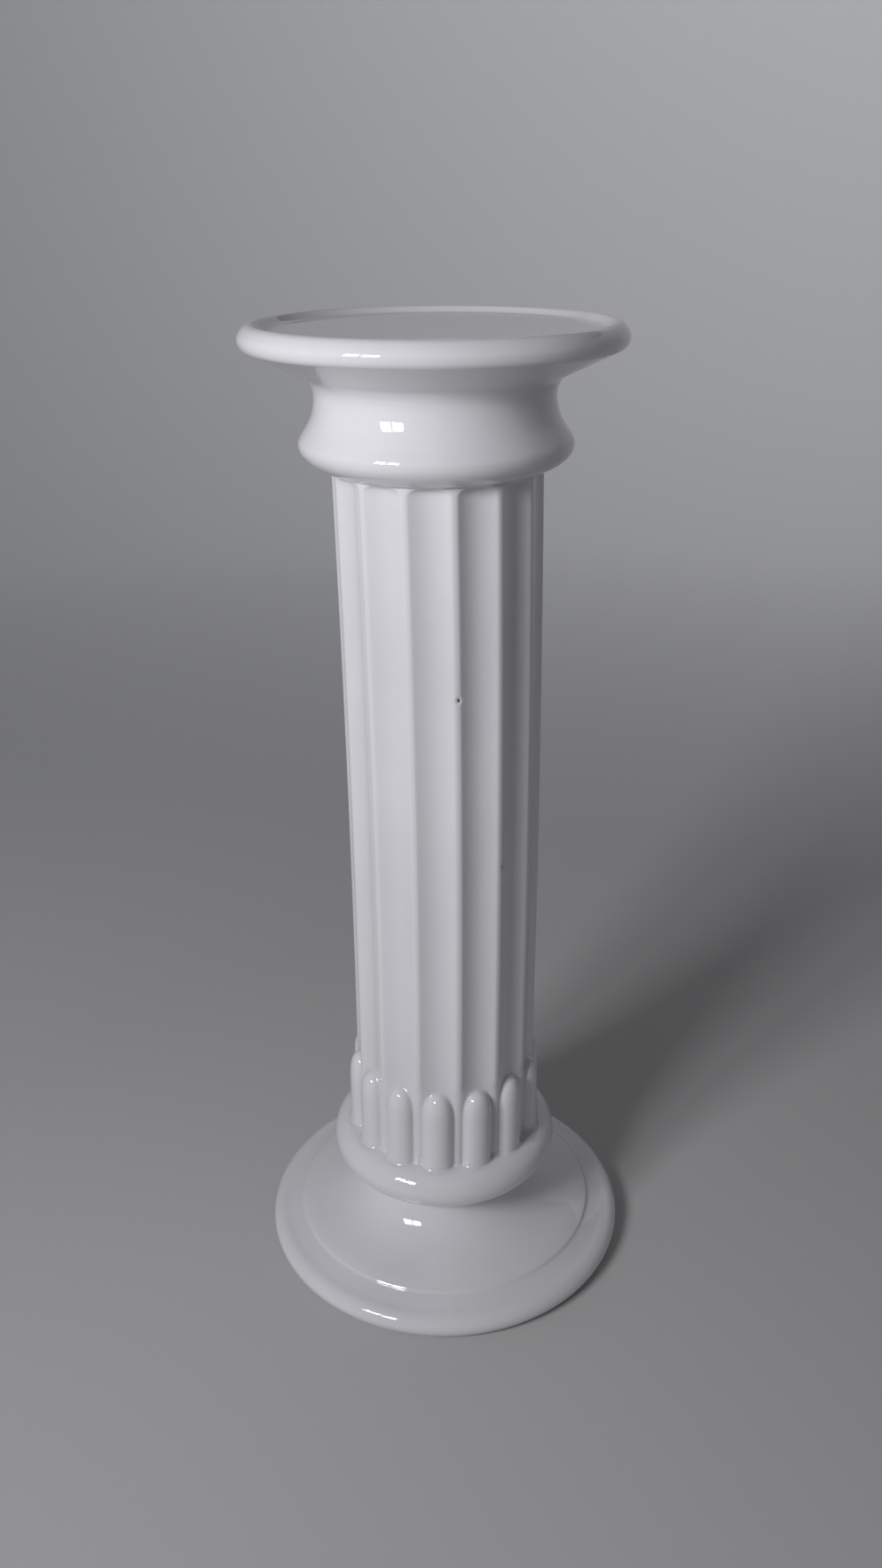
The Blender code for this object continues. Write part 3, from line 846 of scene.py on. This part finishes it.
def stage():
    """The floor and the wall around it, in one piece."""
    centre = (STAGE_RADIUS - STAGE_BEND, STAGE_BEND)
    bend = arc(centre, STAGE_BEND, STAGE_BEND, -QUARTER, 0.0, STAGE_BEND_STEPS)
    profile = [(STAGE_DISC, 0.0)] + bend + [(STAGE_RADIUS, STAGE_WALL)]
    verts = []
    for r, z in profile:
        for k in range(STAGE_SIDES):
            angle = 2.0 * math.pi * k / STAGE_SIDES
            verts.append((r * math.cos(angle), r * math.sin(angle), z - STAGE_DROP))
    faces = [list(range(STAGE_SIDES))]
    for row in range(len(profile) - 1):
        for k in range(STAGE_SIDES):
            a = row * STAGE_SIDES + k
            b = row * STAGE_SIDES + (k + 1) % STAGE_SIDES
            faces.append((a, a + STAGE_SIDES, b + STAGE_SIDES, b))
    mesh = bpy.data.meshes.new("studio_floor")
    mesh.from_pydata(verts, [], faces)
    mesh.shade_smooth()
    floor = bpy.data.objects.new("studio_floor", mesh)
    bpy.context.collection.objects.link(floor)
    floor.data.materials.append(stage_material())
    return floor


def camera():
    """The photograph's camera. The column's -Y side faces it, turned a little to the left."""
    yaw = CAMERA_YAW - VIEW_AZIMUTH
    level = math.cos(CAMERA_PITCH)
    forward = Vector((math.sin(yaw) * level, math.cos(yaw) * level, -math.sin(CAMERA_PITCH)))
    right = forward.cross(Vector((0.0, 0.0, 1.0))).normalized()
    up = right.cross(forward)
    across = math.cos(CAMERA_ROLL) * right + math.sin(CAMERA_ROLL) * up
    upward = -math.sin(CAMERA_ROLL) * right + math.cos(CAMERA_ROLL) * up
    data = bpy.data.cameras.new("camera")
    data.sensor_fit = "VERTICAL"
    data.sensor_height = SENSOR_HEIGHT
    data.lens = SENSOR_HEIGHT * FOCAL_PIXELS / IMAGE_HEIGHT
    data.clip_start = CAMERA_CLIP_START
    eye = bpy.data.objects.new("camera", data)
    bpy.context.collection.objects.link(eye)
    turn = Matrix((across, upward, -forward)).transposed().to_4x4()
    place = Vector((math.sin(VIEW_AZIMUTH), -math.cos(VIEW_AZIMUTH), 0.0)) * CAMERA_DISTANCE
    eye.matrix_world = Matrix.Translation(place + Vector((0.0, 0.0, CAMERA_HEIGHT))) @ turn
    bpy.context.scene.camera = eye
    return eye


def turned(place):
    """A place given in the camera's turn, in the scene's own axes."""
    return Matrix.Rotation(VIEW_AZIMUTH, 3, "Z") @ place


def lamp(name, place, facing, size, power, spread_angle):
    """A rectangular lamp at a place, shining in a direction."""
    data = bpy.data.lights.new(name, "AREA")
    data.shape = "RECTANGLE"
    data.size = size[0]
    data.size_y = size[1]
    data.energy = power
    data.spread = spread_angle
    holder = bpy.data.objects.new(name, data)
    bpy.context.collection.objects.link(holder)
    holder.location = place
    holder.rotation_euler = (-facing).to_track_quat("Z", "Y").to_euler()
    return holder


def lights():
    """A two-paned window on the left, a wash on the wall behind and a faint glow all around."""
    facing = turned(Vector((-WINDOW_PLACE.x, -WINDOW_PLACE.y, 0.0))).normalized()
    across = Vector((0.0, 0.0, 1.0)).cross(facing)
    for name, side in (("window_left_pane", 0.5), ("window_right_pane", -0.5)):
        place = turned(WINDOW_PLACE) + across * PANE_PITCH * side
        pane = lamp(name, place, facing, (PANE_WIDTH, PANE_HEIGHT), PANE_POWER, PANE_SPREAD)
        pane.data.color = PANE_COLOUR
    lamp("wall_wash", turned(WASH_PLACE), turned(WASH_TOWARDS), WASH_SIZE, WASH_POWER, WASH_SPREAD)
    world = bpy.data.worlds.new("studio")
    world.use_nodes = True
    world.node_tree.nodes["Background"].inputs["Color"].default_value = ROOM_GLOW
    world.node_tree.nodes["Background"].inputs["Strength"].default_value = 1.0
    bpy.context.scene.world = world
    bpy.context.scene.view_settings.view_transform = "Standard"


glazed_column()
stage()
camera()
lights()
